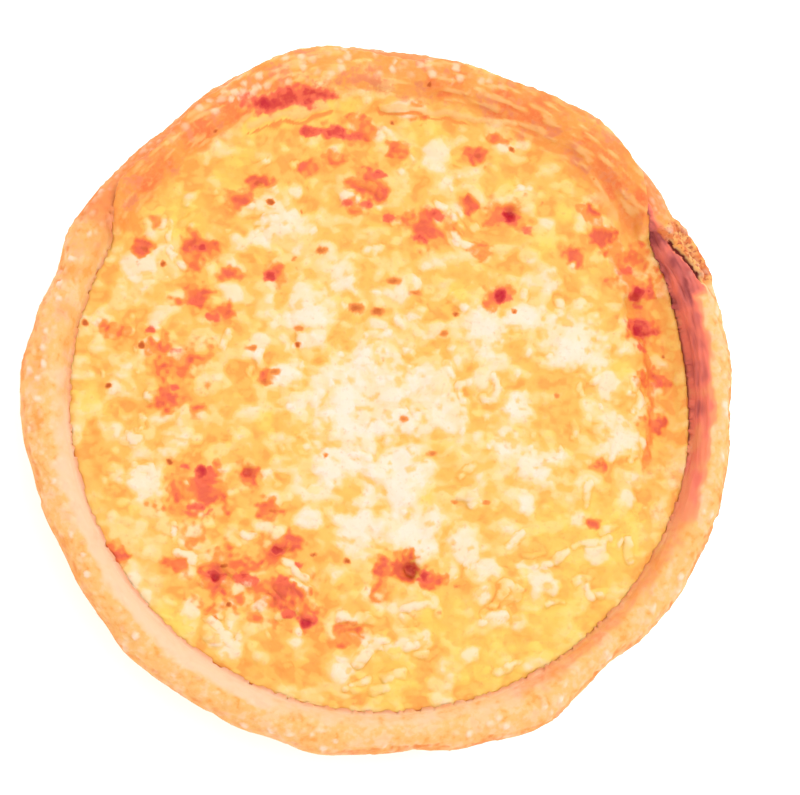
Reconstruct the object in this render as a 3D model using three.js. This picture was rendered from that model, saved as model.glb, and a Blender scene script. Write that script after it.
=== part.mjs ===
// Cheese pie: a round open pie of the small family size. A thick-edged shortcrust case holds
// a baked filling of egg custard and grated cheese. The filling has shrunk away from the case
// along one side, and has boiled over the rim in a thin browned film along another.
//
// Millimetres, +Z up. The origin is on the table, under the middle of the pie's outline.
// Angles run anticlockwise from +X, seen from above.

import * as THREE from "three";

// ---- Driving sizes ----

const PIE_RADIUS = 80; // mean radius of the outermost edge
const PIE_OVAL = 1.7; // the pie is this much longer than that, both ways, along OVAL_ANGLE
const OVAL_ANGLE = 45;
const RIM_HEIGHT = 34; // table to the top of the rim
const RIM_HALF_WIDTH = 5; // the rim's section is the upper half of an ellipse
const RIM_DROP = 6; // from the rim's top down to where its section is widest
const FOOT_RADIUS = 69; // where the outer wall meets the flat base
const FOOT_ROUND = 2.4; // radius of the edge between wall and base
const BASE_THICKNESS = 4.5;
const WALL_FOOT = 6; // thickness of the wall where it stands on the base
const FLOOR_ROUND = 2.5; // radius of the corner between the inner wall and the floor
const CLEARANCE = 0.35; // air between the case and the filling
const FILM = 0.8; // thickness of the filling's edge, and of the film that boiled over
const FILLING_DROP = 4; // from the rim's top down to the filling along its edge
const CENTRE_DROP = 4.2; // the same in the middle of the pie
const PUFF = 1.1; // the filling rises by this much between its middle and its edge
const CLIMB = 2.2; // it climbs this much towards the rim where it boiled over
const SHRINK_GAP = 0.5; // how much wider the gap is where the filling has shrunk from the case
const STEP_RADIUS = 60; // the filling steps down here on the shrunk side
const STEP_DEPTH = 1.8;

// Bulges and flats of the hand-shaped outline: angle, half width in degrees, millimetres out.
const OUTLINE_BUMPS = [
  [3, 9, -0.5],
  [30, 9, -1.1],
  [66, 14, -1.2],
  [86, 8, -0.7],
  [106, 20, 1.7],
  [130, 8, -1.8],
  [138, 10, -1.0],
  [150, 10, 0.4],
  [161, 9, -1.3],
  [181, 13, 1.2],
  [188, 10, 0.8],
  [209, 14, -0.5],
  [228, 9, 1.4],
  [260, 8, 0.6],
  [275, 10, -0.6],
  [296, 13, 1.9],
  [304, 7, -0.9],
  [311, 8, -1.0],
  [340, 22, 0.6],
];

// Bubbles that burst in the filling: x, y, radius and depth.
const PITS = [
  [5.2, -39.6, 3.2, 2.4],
  [-31.3, -18.2, 2.6, 1.5],
  [28.8, 43, 2.6, 1.6],
  [25.7, 23.6, 2.6, 1.3],
  [-41.1, -20.4, 3.6, 1.2],
  [-38.3, -41.2, 2.8, 1.5],
  [-25.5, -35.3, 2.6, 1.4],
  [57.9, 24.2, 3, 1.8],
  [59, 17.3, 2.6, 1.5],
  [-42, 33.1, 2.6, 1.4],
  [-26.6, 25.6, 2.4, 1.2],
  [-20.1, 14, 2.4, 1.2],
  [12.5, 14.3, 2.4, 1.2],
  [17.5, -24.1, 2.6, 1.2],
];

// A split along the outer edge of the rim, with a flake of crust standing up outside it.
const SPLIT = { from: 21, to: 31, depth: 1.8, flake: 0.9 };

// ---- How finely the faces are cut ----

const TOP_RINGS = 28; // ring k of the filling's top has 6k points
const AROUND = 6 * TOP_RINGS;
const RIM_STEPS = 8; // faces over the rim, from the inner wall to the outer wall
const LUMP_COUNT = 230;

// ---- Small helpers ----

const rad = THREE.MathUtils.degToRad;
const lerp = THREE.MathUtils.lerp;
const smoothstep = THREE.MathUtils.smoothstep;

// 1 at the centre angle, easing to 0 at halfWidth degrees to each side of it.
function swell(angle, centre, halfWidth) {
  const turns = (angle - rad(centre)) / (2 * Math.PI);
  const away = Math.abs(turns - Math.round(turns)) * 360;
  return 0.5 + 0.5 * Math.cos(Math.PI * Math.min(1, away / halfWidth));
}

// 1 between two angles in degrees, easing to 0 over blur degrees outside them.
function stretch(angle, from, to, blur) {
  const turns = (angle - rad((from + to) / 2)) / (2 * Math.PI);
  const away = Math.abs(turns - Math.round(turns)) * 360;
  return 1 - smoothstep(away, (to - from) / 2, (to - from) / 2 + blur);
}

// A number from 0 to 1 that looks random but is the same for the same seed.
function scatter(seed) {
  const wave = Math.sin(seed * 12.9898) * 43758.5453;
  return wave - Math.floor(wave);
}

// A point at a radius, a height and an angle.
function polar(radius, height, angle) {
  return new THREE.Vector3(
    radius * Math.cos(angle),
    radius * Math.sin(angle),
    height,
  );
}

// ---- The case, as functions of the angle ----

// How far the outline stands out from a plain circle.
function outlineOut(angle) {
  const oval = PIE_OVAL * Math.cos(angle - rad(OVAL_ANGLE)) ** 2;
  return OUTLINE_BUMPS.reduce(
    (sum, [centre, width, out]) => sum + out * swell(angle, centre, width),
    oval,
  );
}

// Where the filling has shrunk and sunk, and where it has boiled over the rim.
const shrunk = (angle) => swell(angle, 8, 50);
const boiledOver = (angle) => stretch(angle, 43, 140, 14);

// The rim's section at an angle: middle radius, half width, and the height of its top.
function rimAt(angle) {
  const oval = PIE_OVAL * Math.cos(angle - rad(OVAL_ANGLE)) ** 2;
  const bumps = outlineOut(angle) - oval;
  const plain =
    RIM_HALF_WIDTH - 0.5 * swell(angle, 5, 60) + 0.4 * swell(angle, 95, 50);
  return {
    middle: PIE_RADIUS + oval - plain + bumps / 2,
    half: plain + bumps / 2,
    top:
      RIM_HEIGHT + 0.5 * Math.sin(2 * angle + 0.6) + 0.3 * Math.sin(5 * angle + 2),
  };
}

// Low uneven waves in the hand-pressed crust, in millimetres.
function unevenness(angle, s) {
  return (
    0.26 * Math.sin(9 * angle + 2 * s + 0.5) +
    0.2 * Math.sin(17 * angle - 3 * s + 2.1) +
    0.16 * Math.sin(31 * angle + 5 * s + 4)
  );
}

// How far the rim's face is moved at s, by the waves, which fade towards the filling, and by the
// split in its outer edge.
function rimRelief(angle, s) {
  const along = stretch(angle, SPLIT.from, SPLIT.to, 3);
  const groove = Math.max(0, 1 - Math.abs(s - 2.5) / 0.3);
  const flake = Math.max(0, 1 - Math.abs(s - 2.75) / 0.2);
  const split = along * (SPLIT.flake * flake - SPLIT.depth * groove);
  return smoothstep(s, 1.2, 2.4) * unevenness(angle, s) + split;
}

// The case's inner face at an angle. Along it, s is 0 at the foot of the inner wall, 1 at the top
// of that wall, 2 on top of the rim and 3 at the outermost edge. out lifts the point off the face.
function innerFace(angle, s, out) {
  const rim = rimAt(angle);
  const wallTop = rim.top - RIM_DROP;
  if (s < 1) {
    const foot = FOOT_RADIUS - WALL_FOOT;
    const footHeight = BASE_THICKNESS + FLOOR_ROUND;
    const radius = lerp(foot, rim.middle - rim.half, s);
    return polar(radius - out, lerp(footHeight, wallTop, s), angle);
  }
  const turn = (Math.PI * (3 - s)) / 2;
  const lift = out + rimRelief(angle, s);
  return polar(
    rim.middle + (rim.half + lift) * Math.cos(turn),
    wallTop + (RIM_DROP + lift) * Math.sin(turn),
    angle,
  );
}

// The case's section at an angle, from under its middle, up the outside, over the rim and down the
// inside to the middle of its floor.
function caseSection(angle) {
  const rim = rimAt(angle);
  const foot = FOOT_RADIUS + 0.4 * (rim.middle + rim.half - PIE_RADIUS);
  const section = [];
  for (const turn of [0, 45, 80]) {
    section.push(
      polar(
        foot - FOOT_ROUND + FOOT_ROUND * Math.sin(rad(turn)),
        FOOT_ROUND * (1 - Math.cos(rad(turn))),
        angle,
      ),
    );
  }
  for (const up of [0.4, 0.72]) {
    section.push(
      polar(
        lerp(foot, rim.middle + rim.half, up) + unevenness(angle, up),
        lerp(FOOT_ROUND, rim.top - RIM_DROP, up),
        angle,
      ),
    );
  }
  for (let step = 0; step <= RIM_STEPS; step++) {
    section.push(innerFace(angle, 3 - (2 * step) / RIM_STEPS, 0));
  }
  section.push(innerFace(angle, 0, 0));
  const floorRadius = FOOT_RADIUS - WALL_FOOT - FLOOR_ROUND;
  section.push(polar(floorRadius, BASE_THICKNESS, angle));
  return section;
}

// ---- The filling, as functions of place ----

// How far along the case's inner face the filling reaches.
function fillingReach(angle) {
  const over = 1.2 + 0.15 * Math.sin(7 * angle + 1) + 0.08 * Math.sin(15 * angle);
  return 1.22 - 0.3 * shrunk(angle) + over * boiledOver(angle);
}

// The filling's edge: the outermost ring of its top.
function fillingEdge(angle, out) {
  const reach = fillingReach(angle);
  return innerFace(angle, reach, out + SHRINK_GAP * shrunk(angle));
}

// The share of the way to the edge where ring k of the top lies: the rings are closer further out.
function shareOfRing(ring) {
  const share = ring / TOP_RINGS;
  return share + 0.3 * share * (1 - share);
}

// Lumps of melted cheese, spread evenly like the seeds of a sunflower and then jogged.
const LUMPS = Array.from({ length: LUMP_COUNT }, (_, k) => {
  const radius = 70 * Math.sqrt((k + 0.5) / LUMP_COUNT) + 3 * (scatter(k) - 0.5);
  const angle = k * rad(137.508) + 0.12 * (scatter(k + 0.3) - 0.5);
  return {
    x: radius * Math.cos(angle),
    y: radius * Math.sin(angle),
    size: 3.2 + 2.6 * scatter(k + 0.6),
    height: 0.45 + 0.9 * scatter(k + 0.9),
  };
});

function lumpHeight(x, y) {
  let highest = 0;
  for (const lump of LUMPS) {
    const near = 1 - ((x - lump.x) ** 2 + (y - lump.y) ** 2) / lump.size ** 2;
    if (near > 0) highest = Math.max(highest, lump.height * near);
  }
  return highest;
}

function pitDepth(x, y) {
  return PITS.reduce((deepest, [px, py, radius, depth]) => {
    const near = 1 - ((x - px) ** 2 + (y - py) ** 2) / radius ** 2;
    return Math.max(deepest, depth * near);
  }, 0);
}

// Height of the film that boiled over the rim, which lies one clearance above the rim.
function filmHeight(radius, angle) {
  const rim = rimAt(angle);
  const across = (radius - rim.middle) / (rim.half + CLEARANCE + FILM);
  if (Math.abs(across) >= 1) return 0;
  const s = 3 - (2 / Math.PI) * Math.acos(across);
  const lift = CLEARANCE + FILM + rimRelief(angle, s);
  return rim.top - RIM_DROP + (RIM_DROP + lift) * Math.sqrt(1 - across ** 2);
}

// Height of the filling's top at a share of the way from its middle to its edge.
function fillingHeight(share, angle) {
  const rim = rimAt(angle);
  const edge = fillingEdge(angle, CLEARANCE + FILM);
  const radius = share * Math.hypot(edge.x, edge.y);
  const wall = rim.middle - rim.half;
  const climb =
    CLIMB * boiledOver(angle) * smoothstep(radius, wall - 7, wall + 1);
  const level = lerp(
    RIM_HEIGHT - CENTRE_DROP + PUFF * Math.sin(Math.PI * share) ** 2,
    Math.min(edge.z, rim.top - FILLING_DROP),
    smoothstep(share, 0.74, 1),
  );
  const step =
    STEP_DEPTH * shrunk(angle) * smoothstep(radius, STEP_RADIUS - 1, STEP_RADIUS + 2);
  const x = radius * Math.cos(angle);
  const y = radius * Math.sin(angle);
  const inside = 1 - smoothstep(share, 0.93, 0.99);
  const relief = inside * (lumpHeight(x, y) - pitDepth(x, y));
  const surface =
    level + climb - step * (1 - smoothstep(share, 0.96, 1)) + relief;
  return Math.max(surface, filmHeight(radius, angle));
}

// ---- Faces ----

const angles = Array.from(
  { length: AROUND },
  (_, i) => (2 * Math.PI * i) / AROUND,
);

// Two triangles between each pair of neighbours on two closed rings of as many points.
function joinRings(faces, lower, upper, count) {
  for (let i = 0; i < count; i++) {
    const next = (i + 1) % count;
    faces.push(lower + i, lower + next, upper + next);
    faces.push(lower + i, upper + next, upper + i);
  }
}

// A fan between a closed ring and one point.
function closeRing(faces, ring, count, point, upwards) {
  for (let i = 0; i < count; i++) {
    const next = (i + 1) % count;
    if (upwards) faces.push(ring + i, ring + next, point);
    else faces.push(ring + next, ring + i, point);
  }
}

function geometryOf(points, faces) {
  const geometry = new THREE.BufferGeometry().setFromPoints(points);
  geometry.setIndex(faces);
  geometry.computeVertexNormals();
  return geometry;
}

// The case: its section swept once round, closed by a fan under it and one on its floor.
function caseGeometry() {
  const sections = angles.map(caseSection);
  const rows = sections[0].length;
  const points = [];
  const faces = [];
  for (let row = 0; row < rows; row++) {
    points.push(...sections.map((section) => section[row]));
    if (row > 0) joinRings(faces, (row - 1) * AROUND, row * AROUND, AROUND);
  }
  points.push(new THREE.Vector3(0, 0, 0));
  closeRing(faces, 0, AROUND, points.length - 1, false);
  points.push(new THREE.Vector3(0, 0, BASE_THICKNESS));
  closeRing(faces, (rows - 1) * AROUND, AROUND, points.length - 1, true);
  return geometryOf(points, faces);
}

// The filling: a disc of rings on top, then its side down the case's inner face, then its bottom.
function fillingGeometry() {
  const points = [new THREE.Vector3(0, 0, fillingHeight(0, 0))];
  const faces = [];
  const firstOf = (ring) => (ring === 0 ? 0 : 1 + 3 * ring * (ring - 1));
  for (let ring = 1; ring <= TOP_RINGS; ring++) {
    const share = shareOfRing(ring);
    for (let i = 0; i < 6 * ring; i++) {
      const angle = (2 * Math.PI * i) / (6 * ring);
      const edge = fillingEdge(angle, CLEARANCE + FILM);
      points.push(
        ring === TOP_RINGS
          ? edge
          : polar(
              share * Math.hypot(edge.x, edge.y),
              fillingHeight(share, angle),
              angle,
            ),
      );
    }
    // Each sixth of a ring has one more point than the same sixth of the ring inside it.
    for (let sixth = 0; sixth < 6; sixth++) {
      for (let i = 0; i < ring; i++) {
        const outer = (step) =>
          firstOf(ring) + ((sixth * ring + step) % (6 * ring));
        const inner = (step) =>
          ring === 1
            ? 0
            : firstOf(ring - 1) +
              ((sixth * (ring - 1) + step) % (6 * (ring - 1)));
        faces.push(inner(i), outer(i), outer(i + 1));
        if (i < ring - 1) faces.push(inner(i), outer(i + 1), inner(i + 1));
      }
    }
  }

  // The side's rows lie where the case's own rows lie, up to where the filling ends.
  const rows = [0, 0.5];
  for (let step = 0; step < RIM_STEPS - 1; step++) {
    rows.push(1 + (2 * step) / RIM_STEPS);
  }
  const leastApart = 0.02;
  let above = firstOf(TOP_RINGS);
  for (let row = rows.length - 1; row >= 0; row--) {
    const first = points.length;
    for (const angle of angles) {
      const reach = fillingReach(angle);
      const s = Math.min(rows[row], reach - leastApart * (rows.length - 1 - row));
      const free = shrunk(angle) * smoothstep(s, 0.3, reach);
      points.push(innerFace(angle, s, CLEARANCE + SHRINK_GAP * free));
    }
    joinRings(faces, first, above, AROUND);
    above = first;
  }
  const bottom = points.length;
  const bottomRadius = FOOT_RADIUS - WALL_FOOT - FLOOR_ROUND - CLEARANCE;
  points.push(
    ...angles.map((angle) =>
      polar(bottomRadius, BASE_THICKNESS + CLEARANCE, angle),
    ),
  );
  joinRings(faces, bottom, above, AROUND);
  points.push(new THREE.Vector3(0, 0, BASE_THICKNESS + CLEARANCE));
  closeRing(faces, bottom, AROUND, points.length - 1, false);
  return geometryOf(points, faces);
}

// ---- The pie ----

const crust = new THREE.Mesh(
  caseGeometry(),
  new THREE.MeshStandardMaterial({
    color: 0xf0b078,
    roughness: 0.75,
    metalness: 0,
  }),
);
crust.name = "pastry_case";

const filling = new THREE.Mesh(
  fillingGeometry(),
  new THREE.MeshStandardMaterial({
    color: 0xf8d48a,
    roughness: 0.55,
    metalness: 0,
  }),
);
filling.name = "cheese_filling";

const pie = new THREE.Group();
pie.add(crust, filling);

// The outline's box is centred on the origin.
const middle = new THREE.Box3().setFromObject(pie).getCenter(new THREE.Vector3());
pie.position.set(-middle.x, -middle.y, 0);

export default pie;
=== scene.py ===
# %% [markdown]
# # A cheese pie
#
# This lesson dresses a plain model of a small family-size cheese pie until it looks freshly
# baked. The plain model holds the two solids that can be told apart on the real pie: the pastry
# case and the filling. We give each one a finer skin, shape the small forms into the mesh, and
# then build its colours out of nodes.

# %% Load the plain model
import math
import random

import bpy
import numpy as np
from mathutils import Matrix, Vector, noise
from mathutils.bvhtree import BVHTree


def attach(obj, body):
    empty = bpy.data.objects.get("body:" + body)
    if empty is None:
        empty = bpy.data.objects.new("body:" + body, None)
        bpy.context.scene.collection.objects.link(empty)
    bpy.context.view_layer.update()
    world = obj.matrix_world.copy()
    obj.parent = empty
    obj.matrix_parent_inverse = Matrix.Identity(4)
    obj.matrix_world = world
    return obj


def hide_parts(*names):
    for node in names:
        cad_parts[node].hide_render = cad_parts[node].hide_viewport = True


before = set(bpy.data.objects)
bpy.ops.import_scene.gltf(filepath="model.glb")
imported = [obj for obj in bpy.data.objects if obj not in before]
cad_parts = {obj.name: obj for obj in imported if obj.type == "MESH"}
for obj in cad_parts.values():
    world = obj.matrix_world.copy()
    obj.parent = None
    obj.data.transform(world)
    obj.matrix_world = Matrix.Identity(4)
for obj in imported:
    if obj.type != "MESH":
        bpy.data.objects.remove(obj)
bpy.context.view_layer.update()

MM = 0.001

# %% [markdown]
# ## The view
#
# The picture looks down on the pie, a little from the lower left: the case's outer side can't be
# seen anywhere, but its inner wall shows on the right. A long lens keeps the circle round. We place
# the camera first, so that every later step can be looked at.

# %% Camera
PHOTO_SIZE = (800, 795)
MM_PER_PIXEL = 0.2257
VIEW_TILT = math.radians(14)
VIEW_FROM = math.radians(225)
VIEW_DISTANCE = 0.9
LOOK_AT = Vector((4.5 * MM, 0.0 * MM, 28 * MM))

away = Vector((
    math.sin(VIEW_TILT) * math.cos(VIEW_FROM),
    math.sin(VIEW_TILT) * math.sin(VIEW_FROM),
    math.cos(VIEW_TILT),
))
right = Vector((0, 1, 0)).cross(away).normalized()
upwards = away.cross(right)
bpy.ops.object.select_all(action="DESELECT")
bpy.ops.object.camera_add()
camera = bpy.context.object
camera.name = "camera"
turn = Matrix((right, upwards, away)).transposed().to_4x4()
camera.matrix_world = Matrix.Translation(LOOK_AT + away * VIEW_DISTANCE) @ turn
camera.data.sensor_width = 36
camera.data.lens = 36 * VIEW_DISTANCE / (PHOTO_SIZE[0] * MM_PER_PIXEL * MM)
bpy.context.scene.camera = camera
print("lens", round(camera.data.lens, 1), "mm")

# %% [markdown]
# ## Small helpers
#
# Blender's operators act on whatever is selected, so each step starts by choosing exactly one
# object. The same goes for faces in edit mode: we pick them in code by where they lie or which way
# they face, and then let the operator work on that choice.

# %% Choosing things
def choose(obj):
    bpy.ops.object.select_all(action="DESELECT")
    obj.select_set(True)
    bpy.context.view_layer.objects.active = obj


def points_of(obj):
    flat = np.empty(len(obj.data.vertices) * 3)
    obj.data.vertices.foreach_get("co", flat)
    return flat.reshape(-1, 3)


def normals_of(obj):
    flat = np.empty(len(obj.data.vertices) * 3)
    obj.data.vertices.foreach_get("normal", flat)
    return flat.reshape(-1, 3)


def choose_faces(obj, wanted):
    """Opens the object for editing with only the faces chosen for which wanted(face) is true."""
    choose(obj)
    picked = [wanted(face) for face in obj.data.polygons]
    bpy.ops.object.mode_set(mode="EDIT")
    bpy.ops.mesh.select_mode(type="FACE")
    bpy.ops.mesh.select_all(action="DESELECT")
    bpy.ops.object.mode_set(mode="OBJECT")
    obj.data.polygons.foreach_set("select", picked)
    bpy.ops.object.mode_set(mode="EDIT")
    return sum(picked)


# %% [markdown]
# ## A finer skin for each solid
#
# The plain solids have faces about 2.5 mm across, far too coarse for blisters and curds. We could
# model each piece again from nothing, but then it might not fit the solid. Instead we copy the
# solid, weld its loose triangles together, and cut only the faces that show into smaller ones.
# The hidden base and floor stay coarse, which saves a great many triangles. Smoothing the new
# points a few times takes away the old facets.

# %% Copying a solid
def copy_solid(node, name):
    choose(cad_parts[node])
    bpy.ops.object.duplicate()
    piece = bpy.context.object
    piece.name = name
    piece.data.name = name
    piece.data.materials.clear()
    bpy.ops.object.mode_set(mode="EDIT")
    bpy.ops.mesh.customdata_custom_splitnormals_clear()
    bpy.ops.mesh.select_all(action="SELECT")
    bpy.ops.mesh.remove_doubles(threshold=0.000002)
    bpy.ops.object.mode_set(mode="OBJECT")
    print(name, "welded:", len(piece.data.vertices), "points")
    return piece


def refine(piece, wanted, cuts, smoothing):
    count = choose_faces(piece, wanted)
    bpy.ops.mesh.subdivide(number_cuts=cuts, smoothness=0.8)
    bpy.ops.mesh.vertices_smooth(factor=0.5, repeat=smoothing)
    bpy.ops.object.mode_set(mode="OBJECT")
    print(piece.name, count, "faces cut into", len(piece.data.polygons), "in all")


# %% The case and the filling
RIM_FROM = 24 * MM  # the part of the case above this height gets the finer skin
TOP_FROM = 20 * MM  # the same for what faces upwards of the filling
CUTS = 5


def on_top(face):
    return face.normal.z > 0.1 and face.center.z > TOP_FROM


case = copy_solid("pastry_case", "baked_case")
refine(case, lambda face: face.center.z > RIM_FROM, CUTS, 4)
filling = copy_solid("cheese_filling", "baked_filling")
refine(filling, on_top, CUTS, 6)

for piece, node in ((case, "pastry_case"), (filling, "cheese_filling")):
    choose(piece)
    bpy.ops.object.shade_smooth()
    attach(piece, "root")
    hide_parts(node)

# %% [markdown]
# ## Seating the filling
#
# The plain solids are kept a hair apart. On the real pie the filling sticks to the case, except on
# the right, where it has shrunk from it. We measure how wide the gap is by sending a ray outwards
# from every point of the filling's side, and later move the side by just that much. A shrink-wrap
# modifier could do the same, but it would close the real gap on the right, too.

# %% Measuring the gap
def gap_to(piece, other, chosen, way):
    """The distance from each chosen point of piece to the other piece, straight outwards from
    the pie's middle (way 1) or inwards (way -1), up to 3 mm. 0 means that none was met."""
    bpy.context.view_layer.update()
    wall = BVHTree.FromObject(other, bpy.context.evaluated_depsgraph_get())
    gaps = []
    for x, y, z in points_of(piece)[chosen]:
        start = Vector((x, y, z))
        out = Vector((x, y, 0)).normalized()
        hit, _, _, distance = wall.ray_cast(start, way * out, 3 * MM)
        gaps.append(distance if hit else 0)
    return np.array(gaps)


place = points_of(filling)
up = normals_of(filling)[:, 2]
outside = (np.hypot(place[:, 0], place[:, 1]) > 60 * MM) & (place[:, 2] > 18 * MM)
side = np.nonzero(outside & (up < 0.75) & (up > -0.3))[0]
gap = gap_to(filling, case, side, 1)
print("gap:", len(side), "points,", (np.percentile(gap, (5, 50, 95)) / MM).round(2), "mm")

# %% [markdown]
# ## Numbers that wander over a surface
#
# Nothing on baked food is even, so every patch, bubble and curd below starts from noise. Two kinds
# are enough: one that drifts smoothly up and down, and one that splits space into irregular cells.
# Both are worked out once for each point of a mesh. The same numbers can then push the points in
# or out and also tint them, so that a dark pinhole in the colour is a real hole in the shape. Noise
# in the material alone would be quicker to make, but it couldn't change the shape.

# %% Drifting noise
noise.seed_set(4)  # without it the vector noise starts from the clock, a new pie each run


def ease(value, low, high):
    share = np.clip((value - low) / (high - low), 0, 1)
    return share * share * (3 - 2 * share)


def wander(points, size, seed):
    """Smooth random numbers, about -1 to 1, that change over a distance of size millimetres."""
    places = points / (size * MM) + 7.3 * seed
    return np.array([noise.noise(Vector(place)) for place in places])


def shaken(points, size, amount, seed):
    """The points, each moved by up to amount millimetres, so that round things get ragged."""
    moves = [noise.noise_vector(Vector(p)) for p in points / (size * MM) + 3.1 * seed]
    return points + np.array(moves) * amount * MM


# %% Cells
def cells(points, size, seed):
    """Splits space into irregular cells round seeds about size millimetres apart. Gives the
    distances to the nearest seeds, counted in that size, the number from 0 to 1 that the nearest
    cell has to itself, and the same number blended softly from cell to cell."""
    places = points / (size * MM) + 5.7 * seed
    found = [noise.voronoi(Vector(place)) for place in places]
    away = np.array([distances for distances, seeds in found])
    seeds = np.array([[tuple(middle) for middle in seeds] for distances, seeds in found])
    lots = np.sin(seeds @ (12.9898, 78.233, 37.719)) * 43758.5453
    lots = lots - np.floor(lots)
    weights = np.exp(-9 * away)
    return away, lots[:, 0], (lots * weights).sum(axis=1) / weights.sum(axis=1)


# %% [markdown]
# ### Patches and strands
#
# Two kinds of places are listed or strewn at random: round patches, and strands such as shreds of
# cheese. For each point we work out how far inside the nearest of them it lies. Noise is added to
# that number, which frays a patch's edge the way browning frays on real food.

# %% Patches
def patches(points, places, rough, seed, stretch=1.0):
    """How far each point lies inside any of the patches (x, y, radius in millimetres). Two sizes
    of noise make their edges ragged; rough says by how much of the radius. A stretch above 1 makes
    them longer along x. A patch smaller than 2 mm is weaker, too."""
    flat = points[:, :2] / MM
    fray = 0.65 * wander(points, 3.2, seed) + 0.5 * wander(points, 1.2, seed + 1)
    most = np.zeros(len(flat))
    for x, y, radius in places:
        offset = (flat - (x, y)) * (1 / stretch, stretch)
        away = np.hypot(offset[:, 0], offset[:, 1]) / radius + rough * fray
        most = np.maximum(most, (1 - ease(away, 0.35, 1.2)) * min(1, 0.3 + 0.35 * radius))
    return most


# %% Strands
FAR_OUTSIDE = -9.0


def strands(points, places):
    """How far each point lies inside any of the strands, each given as x, y, direction, half its
    length, half its width and how much it bends, in millimetres."""
    flat = points[:, :2] / MM
    most = np.full(len(flat), FAR_OUTSIDE)
    for x, y, turn, half_length, half_width, bend in places:
        near = np.nonzero(np.abs(flat - (x, y)).max(axis=1) < half_length + 3)[0]
        offset = flat[near] - (x, y)
        along = offset @ (math.cos(turn), math.sin(turn))
        across = offset @ (-math.sin(turn), math.cos(turn)) - bend * along**2
        past = np.maximum(np.abs(along) - half_length, 0)
        inside = 1 - (past**2 + across**2) / half_width**2
        most[near] = np.maximum(most[near], inside)
    return most


# %% [markdown]
# ### Two uses of a number
#
# A number on every point is used in two ways. Painting keeps it with the mesh under a name, where
# the material finds it. Pushing turns it into a vertex group and lets a Displace modifier move the
# points along their normals, which is what sculpting with a soft brush does by hand.

# %% Painting and pushing
def paint(piece, name, where, values):
    """Keeps one number a point, from 0 to 1, for the material to read."""
    whole = np.zeros(len(piece.data.vertices))
    whole[where] = np.clip(values, 0, 1)
    layer = piece.data.attributes.new(name, "FLOAT", "POINT")
    layer.data.foreach_set("value", whole)


def push(piece, name, where, shares, distance):
    """Moves points along their normals by shares (0 to 1) of distance, with a Displace modifier
    that reads a painted vertex group."""
    whole = np.zeros(len(piece.data.vertices))
    whole[where] = np.clip(shares, 0, 1)
    group = piece.vertex_groups.new(name=name)
    steps = np.round(whole * 100).astype(int)
    for step in range(1, 101):
        group.add(np.nonzero(steps == step)[0].tolist(), step / 100, "REPLACE")
    choose(piece)
    bpy.ops.object.modifier_add(type="DISPLACE")
    lift = piece.modifiers[-1]
    lift.vertex_group = name
    lift.mid_level = 0
    lift.strength = distance
    bpy.ops.object.modifier_apply(modifier=lift.name)
    print(piece.name, name, "moved", int((steps > 0).sum()), "points up to", distance / MM, "mm")


# %% [markdown]
# ## The look of the filling, patch by patch
#
# A baked cheese filling isn't one colour. Where the egg set pale there are cream-coloured curds,
# between them the fat is golden, the thin places brown first, and a few spots scorch red. We list
# where the patches of each kind lie on this pie, as x, y and radius in millimetres.

# %% Patches on the filling
CREAM = [
    (-2, -1, 14), (4, -18, 8), (44, 14, 9), (8, -31, 7), (36, -15, 6), (55, -8, 6), (-6, -31, 6),
    (-24, 41, 6), (24, 15, 6), (-11, -16, 6), (-18, 20, 6), (15, -4, 5), (28, -11, 4), (-9, 26, 4),
    (32, 18, 4), (37, -42, 4), (31, -2, 4), (18, -34, 5), (24, -39, 3), (12, 56, 4), (-22, 4, 4),
    (-37, -54, 4), (39, 27, 3), (-43, -49, 3), (-28, 35, 3), (-17, -29, 3), (52, 3, 4),
    (-54, -21, 5), (-55, 28, 5), (-9, -62, 3), (27, -50, 3), (-59, 0, 4), (-47, -12, 4),
    (49, -36, 2.5), (45, -27, 3), (56, -22, 2.5), (20, -58, 2.5), (9, -55, 3), (33, -24, 2.5),
    (15, -39, 3), (-34, -59, 3), (23, -45, 2.5), (31, -51, 2.5), (-60, -20, 3), (59, -3, 3),
    (-53, 9, 2.5), (-20, 46, 2.5), (-26, -19, 2), (-38, -56, 2),
]
BROWNED = [
    (-23, -46, 6.5), (-41, -23, 7), (-36, -42, 8), (11, 39, 5.5), (-3, 48, 4.5), (-46, 7, 6.5),
    (61, 18, 5), (4, -40, 5), (-42, 21, 3.5), (-36, 17, 3), (27, 43, 5), (-23, -35, 5), (-5, 61, 4),
    (63, 6, 4), (-42, 31, 5),
    (-28, -51, 2.5), (27, 60, 2.5), (25, 21, 2), (48, -28, 2), (-54, 32, 2.5),
    (-52, 38, 2.5), (-1, -45, 2.5), (-33, -46, 2.5), (-6, 42, 2.5),
    (58, 28, 5), (-9, -54, 4), (51, 38, 4), (27, 24, 3), (-26, -27, 3), (-25, 26, 3), (-48, -2, 4),
    (-12, 54, 3), (-31, -19, 3), (-61, 13, 3), (-16, -51, 4), (11, -42, 3), (23, 34, 3),
    (63, -5, 3), (-46, -39, 3), (44, 34, 3), (22, 56, 3), (-28, 48, 3), (-33, 43, 3), (-17, 52, 3),
    (4, 57, 3), (20, 44, 3), (-35, 26, 3), (7, 65, 3), (33, 39, 2), (-12, 60, 3), (50, -15, 2),
    (-42, -5, 2), (-26, 3, 2), (49, 44, 3), (-46, 20, 2), (-44, -33, 4), (60, 34, 4), (-60, -38, 3),
]
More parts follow.
